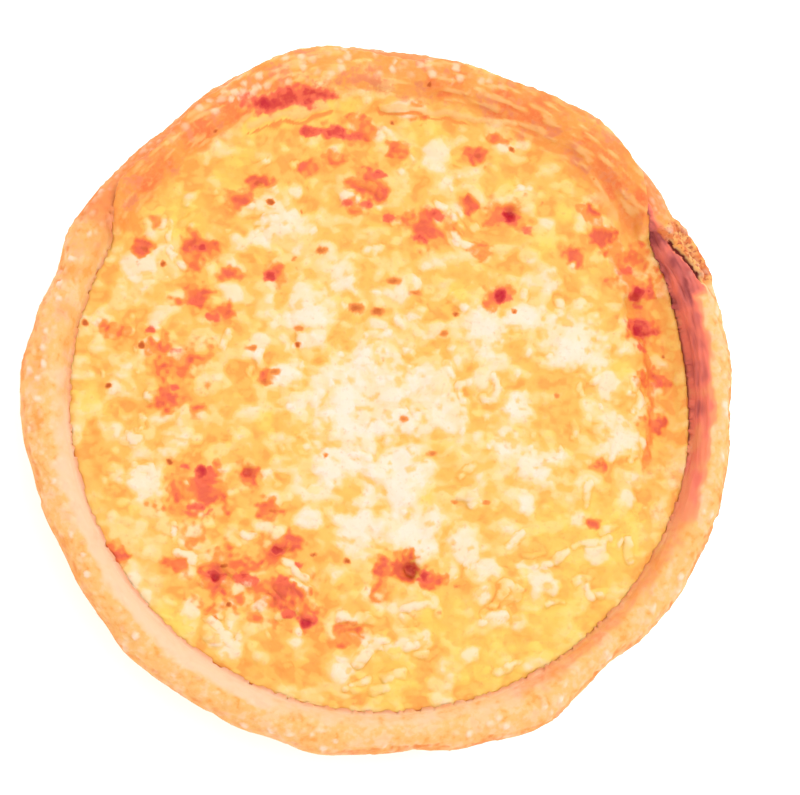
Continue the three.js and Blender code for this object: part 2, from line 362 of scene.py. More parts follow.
SCORCHED = [
    (60, 18, 3.2), (-40, -19.5, 2.6), (-31, -42.5, 2.4), (29, 42, 2.1), (12, 41.5, 2.1),
    (-37, -42, 2.1), (60, 26, 2.1), (-17, -51, 2.1), (6.5, -39, 2.1), (-41.5, -27, 2.4),
    (-23.5, -35.5, 2), (27, 23.5, 1.9), (-41.5, 32.5, 1.7), (-17, 60.3, 1.8), (-14.5, 60.3, 2),
    (-25.5, 26, 1.7), (-30.5, -18.5, 1.7), (9, 36, 1.7), (-12, 60, 2), (-9.5, 60, 1.8),
    (-7, 59.6, 1.6), (10, -42, 1.7), (-43, 20, 1.6),
    (-44.5, -17.5, 1.3), (-8.5, 43.5, 1.3), (-1.5, 50.5, 1.7), (-4, 43.5, 1.3), (-38.5, 16.5, 1.3),
    (61, 23, 1.3), (33, 39, 1.3), (57, 31, 1.7), (-46.5, 8.5, 1.3), (21, 44.5, 1.3),
    (-21, -50, 1.3), (-5.5, 59.5, 1.1), (-52.5, 13, 1.1), (-47, 0, 1.3), (-18, 52, 1.1),
    (60.5, 13, 1.3), (64, 5, 1.3), (-22.5, -42.5, 1.3), (1, 40.5, 1.1), (-19, -39, 1.1),
]
YELLOW = [
    (50, -32, 13), (41, -50, 12), (24, -60, 10), (2, -64, 8), (14, -50, 8), (-65, -3, 5),
    (-45, 40, 7), (-33, 50, 6), (37, 36, 4), (62, -8, 4), (42, 43, 3), (10, 61, 5), (28, 49, 4),
    (-47, -52, 6), (-12, 1, 2), (10, -24, 3), (18, 24, 3), (40, -30, 8), (-27, -7, 3), (55, 8, 3),
]
CRIMSON = [
    (29.5, 42.5, 2), (27, 23.5, 1.7), (-37.5, -42, 1.7), (-17, -51.5, 1.7), (60, 26, 1.7),
    (60, 17.5, 2), (-40.5, -18.5, 1.5), (9.5, -41, 1.4), (-24, -35.5, 1.3), (-41, 32.5, 1.2),
    (-25.5, 26, 1.2),
]
GOLDEN = [(2, 37, 15), (-34, 0, 16), (-42, 42, 14), (-58, 4, 12), (26, 36, 9), (-18, 56, 12)]
HOLES = [(6.5, -39.5, 2), (-30.5, -18.5, 1.3), (29.5, 43, 1.4), (-37.5, -42.5, 1.1)]
SPOTS = [
    (-5.5, 19.5, 1.6), (-1, 19, 1.6), (-19, 14.5, 1.1), (14, 14.5, 1.3), (-14, 32.5, 1.3),
    (-30, 9.5, 1.2), (5, -5.5, 1.2),
    (-25, 4.5, 1.4), (-27, 2, 1.4), (40, 1, 1.1), (16.5, -24, 0.9), (23.5, -24, 0.9), (50, -14.5, 1),
    (17, -43, 1.1), (0, -37.5, 1), (-6.5, -52, 1), (-54, 31.5, 1.2), (2.5, 26, 1.4), (7, 23.5, 1.4),
    (-25, -27, 1.2), (22, 56, 1.2), (-28.5, 47.5, 1), (11.5, -13, 1.3), (-42.5, -5, 0.9),
]
print(len(CREAM + GOLDEN + BROWNED + SCORCHED + CRIMSON + YELLOW + HOLES + SPOTS), "patches")

# %% [markdown]
# ## Where on the filling
#
# Most of what follows depends on where a point lies: how far from the middle and in which
# direction. We note both once, for the points that face upwards.

# %% The top of the filling
place = points_of(filling)
up = normals_of(filling)[:, 2]
top = np.nonzero((up > 0.1) & (place[:, 2] > TOP_FROM))[0]
spot = place[top]
from_middle = np.hypot(spot[:, 0], spot[:, 1]) / MM
bearing = np.degrees(np.arctan2(spot[:, 1], spot[:, 0]))
print("filling:", len(place), "points,", len(top), "on top")


def sector(angles, start, end, soft):
    """1 between two angles round the pie, fading over soft degrees outside them."""
    middle, half = (start + end) / 2, (end - start) / 2
    away = np.abs((angles - middle + 180) % 360 - 180)
    return 1 - ease(away, half, half + soft)


# %% [markdown]
# ### Beads
#
# Grated cheese melts into soft beads of many sizes. Each bead keeps its own tone, from cream to
# golden, and blends into its neighbours; the fat between them browns first and gathers in small
# ochre pools. Irregular cells with a number each are just that, so two sizes of them give both the
# tone and the height: the paler a bead is, the higher it stands. The cells are stretched along x,
# the way the shreds fell.

# %% Beads and their tone
flow = spot * (0.84, 1.06, 1)
cream = patches(spot, CREAM, 0.55, 5)
browned = patches(spot, BROWNED, 1.0, 6, 1.15)
golden = patches(spot, GOLDEN, 0.5, 45)
yellow = patches(spot, YELLOW, 0.6, 8)
swings = wander(spot, 6, 10)
_, _, large_tone = cells(shaken(flow, 3.0, 1.0, 1), 3.9, 2)
small, small_lot, small_tone = cells(shaken(flow, 1.5, 0.5, 3), 1.9, 4)
bead = 0.5 + 0.72 * (large_tone - 0.5) + 0.5 * (small_tone - 0.5)
tone = 0.45 + (bead - 0.5) * (1 - 0.3 * cream) + 0.52 * cream + 0.25 * swings * (1 - cream)
tone = tone - 0.13 * golden
pools = ease(wander(flow, 1.9, 3) - 0.8 * (bead - 0.5), 0.3, 0.5)
print("tone:", np.percentile(tone, (5, 50, 95)).round(2))

# %% [markdown]
# ### Browned and scorched
#
# The oven browns what is thin and low: the fat between the beads rather than the beads. So the
# browned and scorched patches are strong where the beads are dark, and each falls apart into
# flecks. Only the crimson cores, where the cheese has caught, cover beads and all.

# %% Browned and scorched patches
brown = browned * np.clip(1.4 - 1.2 * bead + 0.5 * swings, 0, 1.1)
crimson = patches(spot, CRIMSON, 0.7, 46, 0.9)
scorched = 0.72 * patches(spot, SCORCHED, 1.1, 7, 1.25)
scorched = np.maximum(scorched * np.clip(1.35 - 0.9 * bead, 0, 1), 1.1 * crimson)
print("browned:", int((brown > 0.5).sum()), "points, scorched:", int((scorched > 0.5).sum()))

# %% [markdown]
# ### The sunken band and the film
#
# On the right the filling shrank as it cooled: outside a shallow groove lies a flat, darker band.
# On the upper side it boiled over instead, and set as a thin film on the rim. The film wrinkled
# into folds that run round the pie. Noise gives such folds when it is read in coordinates that are
# long that way.

# %% Band, groove, film and folds
EDGE_BAND = 62.5  # from the pie's middle to the groove, in millimetres
upper_end = sector(bearing, 20, 40, 9)
wavering = from_middle + 1.2 * wander(spot, 2.8, 40) + 0.5 * wander(spot, 1.1, 55) - 2 * upper_end
edge_band = ease(wavering, EDGE_BAND - 1, EDGE_BAND + 1) * sector(bearing, -20, 33, 10)
groove = ((wavering - EDGE_BAND) / (0.8 + 1.0 * upper_end)) ** 2
groove = np.exp(-groove) * sector(bearing, -10, 31, 7)
tone = tone - 0.1 * edge_band * (1 - 0.7 * upper_end) + 0.25 * groove
film = ease(from_middle + 1.5 * wander(spot, 3, 13), 67, 70.5) * sector(bearing, 36, 147, 5)
film_ways = np.column_stack([from_middle + 0.05 * bearing, np.radians(bearing) * 70 / 5, swings])
folds = wander(film_ways * MM, 1.2, 41) + 0.5 * wander(film_ways * MM, 0.6, 42)
print("film:", int((film > 0.5).sum()), "points, band:", int((edge_band > 0.5).sum()))

# %% [markdown]
# ### Shreds, crumbs and ridges
#
# Some shreds of cheese kept their shape, mostly near the lower edge, where they lie along it. With
# the small round crumbs they are strewn at random from a list of areas. Each is a short bent
# strand, and two layers of shaking melt it out of shape. Where the film begins, the filling has
# heaved up two long, low ridges.

# %% Strewing strands
chance = random.Random(7)


def strew(count, start, end, inner, outer, length, width):
    """Strands at random places between two angles and two radii, lying roughly along the edge."""
    places = []
    for _ in range(count):
        angle = math.radians(chance.uniform(start, end))
        out = chance.uniform(inner, outer)
        turn = angle + math.radians(90 + chance.gauss(0, 28))
        size = (chance.uniform(0.4, 1) * length, chance.uniform(0.7, 1) * width)
        bend = chance.uniform(-0.06, 0.06)
        places.append((out * math.cos(angle), out * math.sin(angle), turn, *size, bend))
    return places


shreds = (
    strew(34, -130, -30, 48, 67, 3.4, 1.1)
    + strew(9, 175, 235, 50, 67, 2.6, 1.0)
    + strew(14, 110, 170, 46, 64, 2.4, 1.0)
    + strew(12, 55, 100, 38, 60, 2.6, 1.0)
    + strew(18, -50, 30, 44, 65, 2.6, 1.0)
    + strew(30, 0, 360, 5, 48, 2.0, 1.1)
)
crumbs = strew(90, 0, 360, 5, 67, 0.1, 0.9)
print(len(shreds), "shreds and", len(crumbs), "crumbs")

# %% Shreds, crumbs and ridges on the points
RIDGES = [(15, 65.4, math.radians(-6), 15, 0.9, -0.003), (-22, 63.6, math.radians(16), 9, 1.2, 0)]
melted = shaken(shaken(spot, 4.5, 1.6, 56), 1.6, 0.8, 19)
strand = strands(melted, shreds)
in_shred = ease(strand, 0.0, 0.8) * (0.6 + 0.4 * small_tone)
# The ring just outside each shred is painted darker in tone: painted shadow beside the shred.
shred_shadow = ease(strand, -1.6, -0.4) * (1 - ease(strand, -0.4, 0.1))
in_crumb = ease(strands(melted, crumbs), 0.0, 0.9)
tone = tone + 0.36 * in_shred + 0.3 * in_crumb - 0.14 * shred_shadow
ridge = strands(shaken(spot, 3, 1.0, 52), RIDGES)
in_ridge = ease(ridge, 0.0, 0.8)
# A band along the inner side of each ridge is later painted browned: painted shade below the ridge.
ridge_shadow = ease(ridge, -3.5, -1.5) * (1 - ease(ridge, -0.8, 0.1)) * (from_middle < 66.5)
print("shreds cover", round(100 * (in_shred > 0.5).mean(), 1), "percent of the top")

# %% [markdown]
# ### Pinholes and burst bubbles
#
# Steam leaves through pinholes, and where a bubble burst it left a deeper hole. The ones that catch
# the eye are listed one by one; more of them are scattered by cells, most on the left.

# %% Pinholes and holes
spots = patches(spot, SPOTS, 0.7, 20, 1.3)
holes = patches(spot, HOLES, 0.4, 9)
dots, dot_lot, _ = cells(shaken(spot, 1.5, 0.5, 11), 6.5, 12)
pitted_side = sector(bearing, 60, 250, 25)
pinhole = 1 - ease(dots[:, 0] - 0.04 * pitted_side, 0.03, 0.13)
pinhole = np.maximum(spots, pinhole * (dot_lot < 0.2 + 0.25 * pitted_side))
print("pinholes:", int((pinhole > 0.5).sum()), "points, holes:", int((holes > 0.5).sum()))

# %% [markdown]
# ### From numbers to shape
#
# Now the numbers become real shape, one push for each kind of form. The side is seated first: it
# moves out by the gap that we measured, less a hair, and only where it is steep. Broad forms come
# before fine ones, and one light smoothing at the end takes off any point that stands alone.

# %% Pushing the filling into shape
HAIR = 0.03  # what stays open between the filling and the case, in millimetres
steep = 1 - ease(normals_of(filling)[side, 2], 0.1, 0.7)
sticks = (gap > 0) * (gap < 1.2 * MM)
grit = ease(wander(spot, 0.9, 14), 0.1, 0.5)
push(filling, "seat", side, sticks * np.clip(gap / MM - HAIR, 0, 1) * steep, 1.0 * MM)
push(filling, "beads", top, ease(tone, 0.2, 1.0) * (1 - film), 0.6 * MM)
push(filling, "shreds", top, np.maximum(in_shred, 0.7 * in_crumb), 0.38 * MM)
push(filling, "small_beads", top, np.clip(1 - small[:, 0] ** 2, 0, 1), 0.3 * MM)
push(filling, "crumbs", top, grit * (0.3 + 0.7 * np.maximum(brown, film)), 0.2 * MM)
push(filling, "pinholes", top, pinhole, -0.15 * MM)
push(filling, "folds", top, ease(folds, -0.4, 0.6) * film, 0.3 * MM)
push(filling, "grooves", top, groove, -0.35 * MM)
push(filling, "ridges", top, in_ridge, 0.45 * MM)
push(filling, "holes", top, holes, -1.3 * MM)
choose_faces(filling, on_top)
bpy.ops.mesh.vertices_smooth(factor=0.5, repeat=1)
bpy.ops.object.mode_set(mode="OBJECT")

# %% [markdown]
# ### What the material will read
#
# The same numbers are painted on the points. The film has its own list of places: where it lies on
# the rim it is browned, and at the upper left it is scorched magenta above a clean yellow lip. Small
# pale flecks lie on its outer part. The crests of the folds and the ridges are painted paler, as a
# painted highlight. The side in the crease along the case and a band below each ridge are
# painted darker, as painted shade.

# %% Places on the film
FILM_SCORCHED = [(-27, 65.3, 3.6), (-21.5, 67, 3.8), (-16, 68.8, 3.4)]
FILM_CRIMSON = [(-27.5, 65, 1.6), (-25, 66, 1.3), (-29, 63.5, 1.1), (-21, 65.5, 1)]
LIP = [(-28, 62, 3), (-23, 63, 3), (-18, 64, 3.4), (-13, 65, 3.4), (-8, 66, 2.6), (-31, 60, 2.4)]
FILM_BROWNED = [
    (-53, 47, 12), (-64, 36, 9), (-40, 60, 12), (-28, 68, 9), (34, 66, 12), (50, 55, 12), (60, 44, 9),
    (14, 73, 6), (66, 36, 5),
]
film_scorched = 0.7 * patches(spot, FILM_SCORCHED, 0.8, 15, 1.6)
film_scorched = film_scorched + 0.4 * patches(spot, FILM_CRIMSON, 0.8, 17)
film_browned = patches(spot, FILM_BROWNED, 0.6, 16)
lip = patches(spot, LIP, 0.5, 18)
film = film * (1 - lip)
flecks, fleck_lot, _ = cells(shaken(spot, 1.2, 0.4, 43), 2.0, 44)
fleck = (1 - ease(flecks[:, 0], 0.25, 0.6)) * ease(fleck_lot, 0.2, 1.0) * ease(from_middle, 72, 74.5)
print("film scorched:", int((film_scorched > 0.5).sum()), "points, lip:", int((lip > 0.5).sum()))

# %% Painting the filling
yellow = np.maximum((yellow + 0.5 * (small_lot > 0.88)) * (0.7 + 0.6 * swings) * (1 - film), lip)
yellow = yellow * (1 - 0.85 * cream) * (1 - 0.7 * np.maximum(in_shred, in_crumb))
# Fold crests are painted less browned, which is part of the painted highlight on them.
film_heat = film * (0.32 + 0.36 * film_browned + 0.2 * swings - 0.3 * ease(folds, 0.0, 0.5))
band_heat = edge_band * (0.06 + 0.3 * swings) + 0.62 * groove
# The side of the filling in the crease along the case is painted browned: painted shade, strongest on
# the lower left.
crease_shade = (0.25 + 0.5 * sector(bearing, 150, 275, 20)) * (1 - ease(up[top], 0.2, 0.6))
crease_shade = crease_shade * (from_middle > 60) * (1 - film)
# This number holds real browning and also painted shade, from the crease and from below the ridges.
heat_and_shade = np.max([brown, film_heat, band_heat, 0.55 * ridge_shadow, crease_shade], axis=0)
paint(filling, "tone", top, tone)
paint(filling, "pool", top, pools * (1 - film))
paint(filling, "yellow", top, yellow)
# Ridge tops are painted less browned, which is part of their painted highlight.
paint(filling, "browned", top, heat_and_shade * (1 - 0.8 * in_ridge))
paint(filling, "scorched", top, np.maximum(scorched, film_scorched))
paint(filling, "pinhole", top, np.maximum(0.85 * pinhole, holes))
paint(filling, "toasted", top, ease(from_middle + 9 * swings, 18, 64))
paint(filling, "film", top, film)
# Fold crests and ridges are painted pale: a painted highlight where they rise.
paint(filling, "fold_highlight", top, np.maximum(ease(folds, 0.15, 0.6) * film, in_ridge))
paint(filling, "fleck", top, fleck * sector(bearing, 78, 122, 14))
numbers = [layer.name for layer in filling.data.attributes if layer.data_type == "FLOAT"]
print("painted on the filling:", ", ".join(numbers))

# %% [markdown]
# ## A small language for materials
#
# A material is a graph of nodes. Drawing dozens of nodes by hand is slow to read, so we wrap a
# node's output in a small class. Adding or multiplying two wrapped outputs then makes the Math
# node for us, and the recipe reads like a formula.

# %% Node helper
class Recipe:
    """Builds one material. Its add method makes any node and returns its output, wrapped."""

    def __init__(self, name):
        self.material = bpy.data.materials.new(name)
        self.material.use_nodes = True
        self.tree = self.material.node_tree
        self.shader = self.tree.nodes["Principled BSDF"]

    def add(self, kind, settings=None, sockets=None, output=0):
        node = self.tree.nodes.new(kind)
        for key, value in (settings or {}).items():
            setattr(node, key, value)
        for key, value in (sockets or {}).items():
            self.join(value, node.inputs[key])
        return Wire(self, node.outputs[output])

    def join(self, value, socket):
        if isinstance(value, Wire):
            self.tree.links.new(value.socket, socket)
        else:
            socket.default_value = value

    def painted(self, name):
        return self.add("ShaderNodeAttribute", {"attribute_name": name}, output="Fac")

    def mix(self, share, first, second):
        settings = {"data_type": "RGBA", "clamp_factor": True}
        return self.add("ShaderNodeMix", settings, {0: share, 6: first, 7: second}, output=2)

    def grade(self, value, *stops):
        """Colours that follow one another as the value rises, each given as (value, colour)."""
        low, colour = stops[0]
        for high, after in stops[1:]:
            colour = self.mix(value.ramp(low, high), colour, after)
            low = high
        return colour

    def speckle(self, size, detail):
        place = self.add("ShaderNodeTexCoord", output="Object")
        sockets = {"Vector": place, "Scale": 1 / (size * MM), "Detail": detail}
        return self.add("ShaderNodeTexNoise", sockets=sockets, output="Fac")

    def finish(self, piece, slot, **sockets):
        for name, value in sockets.items():
            self.join(value, self.shader.inputs[name.replace("_", " ")])
        piece.data.materials.append(self.material)
        print(self.material.name, "has", len(self.tree.nodes), "nodes")


# %% A node's output as a number
class Wire:
    """A node's output that can be added, subtracted and multiplied like a number."""

    def __init__(self, recipe, socket):
        self.recipe = recipe
        self.socket = socket

    def work(self, operation, first, second):
        return self.recipe.add("ShaderNodeMath", {"operation": operation}, {0: first, 1: second})

    def __add__(self, other):
        return self.work("ADD", self, other)

    def __sub__(self, other):
        return self.work("SUBTRACT", self, other)

    def __rsub__(self, other):
        return self.work("SUBTRACT", other, self)

    def __mul__(self, other):
        return self.work("MULTIPLY", self, other)

    def ramp(self, low, high):
        """0 below low, 1 above high, and a smooth rise between."""
        settings = {"interpolation_type": "SMOOTHSTEP"}
        sockets = {"Value": self, "From Min": low, "From Max": high}
        return self.recipe.add("ShaderNodeMapRange", settings, sockets)


# %% [markdown]
# ### Colours as they look
#
# A colour is easiest to judge as it looks on the screen, from 0 to 255. The finish itself has to be
# darker, because the studio is bright. One function turns the one into the other. The screen's
# curve is undone first, and then the light is divided out.

# %% Tints
LIGHT = 1.95  # how much brighter than its finish a level surface looks in this scene
RED_BOOST = 1.12  # for reds that are overexposed in the picture
BLUE_BOOST = 1.16  # the lumps light one another with warm light, which takes away blue
BRIGHTEST = 0.95


def tint(red, green, blue):
    """The finish that looks like this colour, given as 0 to 255, in this scene's light."""
    shares = [value / 255 for value in (red, green, blue)]
    seen = [s / 12.92 if s < 0.04045 else ((s + 0.055) / 1.055) ** 2.4 for s in shares]
    if red > 245:
        seen[0] *= RED_BOOST
    seen[2] *= BLUE_BOOST
    return [min(BRIGHTEST, s / LIGHT) for s in seen] + [1]


# Light goes a little way into pastry and cheese, red further than blue, and the dry surface
# reflects little. Both materials share these constants.
CRUMB = {
    "Specular_IOR_Level": 0.15,
    "Subsurface_Weight": 0.3,
    "Subsurface_Radius": (1.0, 0.55, 0.3),
    "Subsurface_Scale": 1.5 * MM,
}
print("a cream curd:", [round(share, 2) for share in tint(254, 240, 202)])

# %% [markdown]
# ## The filling's material
#
# The colour is laid on in the order in which the pie gets it. First comes the tone of the cheese,
# from ochre fat to cream curds, with a ring of painted shadow round each shred. Over it go the yellow
# patches and the pools, then what the oven did: browned patches, which also carry the painted shade
# in the crease along the case and below the ridges, the film with its folds and flecks, where the
# fold crests and ridges get a painted highlight, pinholes, and last the scorched spots.
# Two sizes of fine noise, grain and drift, fray the edge of every patch, so that none looks
# painted. The finish is about half matt, because melted cheese is greasy.

# %% Filling material
baked_cheese = Recipe("baked_cheese")
grain = baked_cheese.speckle(1.1, 3.0)
drift = baked_cheese.speckle(5.0, 2.0)
painted = baked_cheese.painted
tone = painted("tone") - painted("toasted") * 0.14 + (drift - 0.5) * 0.35 + (grain - 0.5) * 0.1
colour = baked_cheese.grade(
    tone,
    (0.0, tint(251, 174, 72)),
    (0.28, tint(252, 199, 90)),
    (0.52, tint(253, 218, 129)),
    (0.76, tint(253, 231, 176)),
    (1.05, tint(254, 240, 202)),
)
colour = baked_cheese.mix(painted("yellow") * 0.85, colour, tint(254, 221, 94))
colour = baked_cheese.mix(painted("pool") * 0.7, colour, tint(250, 203, 92))

# %% What the oven did to the filling
# The browned grade also darkens the painted shade in the crease and below the ridges.
colour = baked_cheese.grade(
    painted("browned") + (grain - 0.5) * 0.35,
    (0.0, colour),
    (0.45, tint(250, 163, 68)),
    (0.75, tint(248, 128, 62)),
    (1.05, tint(242, 102, 64)),
)
colour = baked_cheese.mix(
    painted("film") * (grain * 0.6 + drift * 0.4).ramp(0.42, 0.66) * 0.7, colour, tint(252, 186, 92)
)
colour = baked_cheese.mix(
    painted("film") * (drift * 0.7 + grain * 0.3).ramp(0.52, 0.64) * 0.6, colour, tint(244, 130, 92)
)
# Pale fold crests and ridges: painted highlight.
colour = baked_cheese.mix(painted("fold_highlight") * 0.7, colour, tint(253, 200, 118))
colour = baked_cheese.mix(painted("fleck") * 0.9, colour, tint(254, 224, 172))
pinhole = painted("pinhole") + (grain - 0.5) * 0.3
halo = pinhole.ramp(0.05, 0.45) * (1 - painted("browned").ramp(0.2, 0.6))
colour = baked_cheese.mix(halo, colour, tint(250, 164, 72))
colour = baked_cheese.mix(pinhole.ramp(0.3, 0.9) * 0.9, colour, tint(202, 82, 8))
scorched = painted("scorched") + (grain - 0.5) * 0.5
colour = baked_cheese.grade(
    scorched,
    (0.0, colour),
    (0.45, tint(246, 114, 72)),
    (0.75, tint(230, 72, 54)),
    (1.1, tint(207, 17, 44)),
)
bump = baked_cheese.add(
    "ShaderNodeBump", None, {"Strength": 0.25, "Distance": 0.3 * MM, "Height": grain}, output="Normal"
)
baked_cheese.finish(filling, "filling", Base_Color=colour, Normal=bump, Roughness=0.5, **CRUMB)

# %% [markdown]
# ## The pastry's edge
#
# The rim of the case is a roll of dough. Its outer shoulder has risen in small bubbles and caught
# the most heat, so its outermost edge is orange. The slope down to the filling was wetted by it:
# it is smooth and pale on most of the pie. On the lower left, where it faces the lamp, it is painted
# paler still, as painted light. On the right, where the filling has sunk away, it is stained dark,
# and as it faces away from the lamp there, the dark is part stain and part painted shade. We find
# these
# places from the way each point faces: outwards, upwards or inwards.

# %% Where on the rim
place = points_of(case)
facing = normals_of(case)
rim = np.nonzero(place[:, 2] > RIM_FROM)[0]
edge = place[rim]
around = np.degrees(np.arctan2(edge[:, 1], edge[:, 0]))
outwards = edge[:, :2] / np.linalg.norm(edge[:, :2], axis=1)[:, None]
lean = (facing[rim, :2] * outwards).sum(axis=1)
roll = np.degrees(np.arctan2(facing[rim, 2], lean))  # 0 faces out, 90 up and 180 in
shoulder = ease(roll, -20, 20) * (1 - ease(roll, 95, 125))
crest = ease(roll, 10, 35) * (1 - ease(roll, 75, 95))
slope = ease(roll + 20 * wander(edge, 2.6, 50), 95, 130)
boiled_side = sector(around, 36, 149, 5)
light_strip_side = sector(around, 182, 300, 14)
brightest_light_side = sector(around, 198, 244, 14)
golden_side = sector(around, 150, 176, 14)
wet_side = sector(around, -60, 30, 14)
print("case:", len(place), "points,", len(rim), "on the rim")

# %% [markdown]
# ### Bubbles, blisters and dents
#
# Steam lifts the shoulder in low bubbles, each a round cap over the middle of a cell. The few that
# dried out on the crest are small, firm, pale blisters. Long waves and shallow dents come from the
# fingers that pressed the dough into its tin.

# %% Bubbles, blisters and dents
bubbles, bubble_lot, _ = cells(shaken(edge, 2.5, 0.6, 20), 2.0, 21)
bubble = np.clip(1 - (bubbles[:, 0] / (0.25 + 0.3 * bubble_lot)) ** 2, 0, 1)
bubble = bubble * (bubble_lot > 0.25) * shoulder
blisters, blister_lot, _ = cells(shaken(edge, 1.6, 0.5, 28), 3.3, 22)
blister = np.clip(1.3 - 1.3 * (blisters[:, 0] / (0.2 + 0.18 * blister_lot)) ** 2, 0, 1)
blister = blister * (blister_lot > 0.42) * crest * (1 - 0.6 * boiled_side)
waves = 0.5 + 0.5 * wander(edge, 6, 23)
dents = ease(wander(edge, 3.5, 24), 0.15, 0.6) * (1 - slope)
print("bubbles:", int((bubble > 0.5).sum()), "points, blisters:", int((blister > 0.5).sum()))

# %% [markdown]
# ### The cracked flake
#
# At one place the shoulder has cracked, and a thin flake of crust has lifted outside the crack. We
# need each point's distance from the line of the crack, which runs slowly outwards as it goes
# round. The plain solid has this crack as well, but coarsely; here it gets its ragged edge.

# %% Crack and flake
CRACK_FROM, CRACK_TO = 21.5, 31.5  # degrees round the pie
CRACK_RADIUS, CRACK_RUN = 78.6, -0.45  # millimetres, and millimetres more with each degree
radius = np.hypot(edge[:, 0], edge[:, 1]) / MM
beyond = radius - CRACK_RADIUS - CRACK_RUN * (around - CRACK_FROM)
beyond = beyond + 0.5 * wander(edge, 2.2, 30) + 0.5 * wander(edge, 0.8, 51)
near_crack = sector(around, CRACK_FROM, CRACK_TO, 1.5)
crack = (1 - ease(np.abs(beyond), 0.2, 0.7)) * near_crack * (roll < 120)
flake = ease(beyond, 0.5, 1.0) * near_crack * ease(roll, -60, -20)
ragged = 0.5 + 0.5 * wander(edge, 1.4, 31)
print("crack:", int((crack > 0.5).sum()), "points, flake:", int((flake > 0.5).sum()))

# %% [markdown]
# ### The stained and shaded slope
#
# Where the filling shrank away, its juice has dried on the slope as a dark, streaked stain. The same
# dark colour also stands in for the shade of this slope, which faces away from the lamp, so it is
# part stain and part painted shade. It is darkest beside the crack and fades downwards round the
# pie. The streaks follow the way round, so their noise is read in coordinates that are long that
# way, as the folds of the film were.

# %% Stain, painted shade and streaks
strip_ways = np.column_stack([radius, np.radians(around) * 75 / 7, edge[:, 2] / MM]) * MM
streaks = wander(strip_ways, 1.0, 32) + 0.6 * wander(strip_ways, 0.5, 33)
# How dark the slope is round the pie: part juice stain, part painted shade where it faces away from
# the lamp.
stain_and_shade_reach = np.maximum(1.1 * sector(around, 19, 36, 6), 0.84 * sector(around, -2, 36, 8))
stain_and_shade_reach = np.maximum(stain_and_shade_reach, 0.62 * sector(around, -16, 36, 10))
beside_crack = sector(around, 20, 37, 2) * ease(roll, 40, 60) * (1 - ease(beyond, -0.9, -0.2))
stain_and_shade = np.maximum(slope * stain_and_shade_reach, beside_crack)
print("stained:", int((stain_and_shade > 0.5).sum()), "points")

# %% [markdown]
# ### Shaping the rim and closing the gap
#
# The pushes follow as they did on the filling. Last, the gap that is left between the case and the
# filling is measured again, this time inwards from the case, and the slope is moved to meet the
# filling wherever the two stick together on the real pie.

# %% Pushing the rim into shape
push(case, "waves", rim, waves, -0.35 * MM)
push(case, "bubbles", rim, bubble, 0.3 * MM)
push(case, "blisters", rim, blister, 0.35 * MM)
push(case, "dents", rim, dents, -0.35 * MM)
push(case, "streaks", rim, ease(streaks, -0.3, 0.5) * np.maximum(stain_and_shade, 0.3 * slope), 0.35 * MM)
push(case, "flake_lift", rim, flake * (0.4 + 0.6 * ragged), 0.9 * MM)
push(case, "crack_depth", rim, crack, -1.0 * MM)
gap = gap_to(case, filling, rim, -1)
# The band where the slope meets the filling; it is later painted as a darker line, painted shade in
# the crease.
seam_and_shade = (gap > 0) * (1 - ease(gap, 0.9 * MM, 1.5 * MM)) * (roll > 90)
seat = np.clip(gap / MM - HAIR, 0, 1) / np.clip(-np.cos(np.radians(roll)), 0.6, 1)
push(case, "seat", rim, seam_and_shade * seat, 1.0 * MM)

# %% [markdown]
# ### What the pastry's material will read
#
# The rim is browned most where the filling boiled over it, a little where it was wet, and orange
# along its outermost edge; on the right, the extra browning of the slope is also painted shade. On
# the lower left the slope faces the lamp, and a pale strip is painted there as painted light. Along
# the crease where the slope meets the filling a darker line is painted as painted shade. The browning
# fades down the outer wall, so that it doesn't end where the finer skin does.

# %% Painting the case
# The inner slope on the lower left faces the lamp; a pale strip is painted there as painted light.
strip = ease(roll + 14 * wander(edge, 4, 27) + 12 * brightest_light_side, 85, 125) * light_strip_side
# On the right the slope's extra browning is also painted shade.
heat_and_shade = 0.85 * boiled_side + (0.5 * slope + 0.16) * wet_side
heat_and_shade = np.maximum(heat_and_shade, golden_side * (0.3 + 0.45 * wander(edge, 5, 34)))
fading = ease(edge[:, 2] / MM + 2.5 * wander(edge, 4, 54), 24.5, 32)
lower_left = sector(around, 185, 258, 20)
edge_noise = 16 * wander(edge, 3, 25) + 14 * wander(edge, 1.1, 53)
outer_edge = (1 - ease(roll + edge_noise, 14, 50)) * (1 - 0.3 * lower_left)
paint(case, "stain_and_shade", rim, stain_and_shade * (0.8 + 0.3 * wander(edge, 4, 26)))
paint(case, "streak", rim, ease(-streaks, 0.0, 0.5) * stain_and_shade)
paint(case, "painted_light_strip", rim, strip * (0.55 + 0.45 * brightest_light_side))
paint(case, "browned", rim, heat_and_shade * fading)
paint(case, "outer_edge", rim, outer_edge * fading)
paint(case, "bubble", rim, bubble)
paint(case, "blister", rim, blister)
paint(case, "flake", rim, flake)
# A darker line in the crease by the filling: painted shade.
paint(case, "seam_and_shade", rim, seam_and_shade)
# The inside of the crack is painted dark: painted shade in the crack.
paint(case, "crack", rim, crack)
numbers = [layer.name for layer in case.data.attributes if layer.data_type == "FLOAT"]
print("painted on the case:", ", ".join(numbers))

# %% [markdown]
# ## The pastry's material
#
# Plain baked dough comes first, mottled by two sizes of noise. The pale strip of painted light, the
# browning and the orange edge go over it, each frayed by the same noise, and a darker line of
# painted shade follows the crease along the filling. Then come the dark slope with its streaks, part
# stain and part painted shade, the crumbly flake, the pale bubbles and blisters, and the painted
# shade inside the crack. Pastry is drier than cheese, so it is rougher.

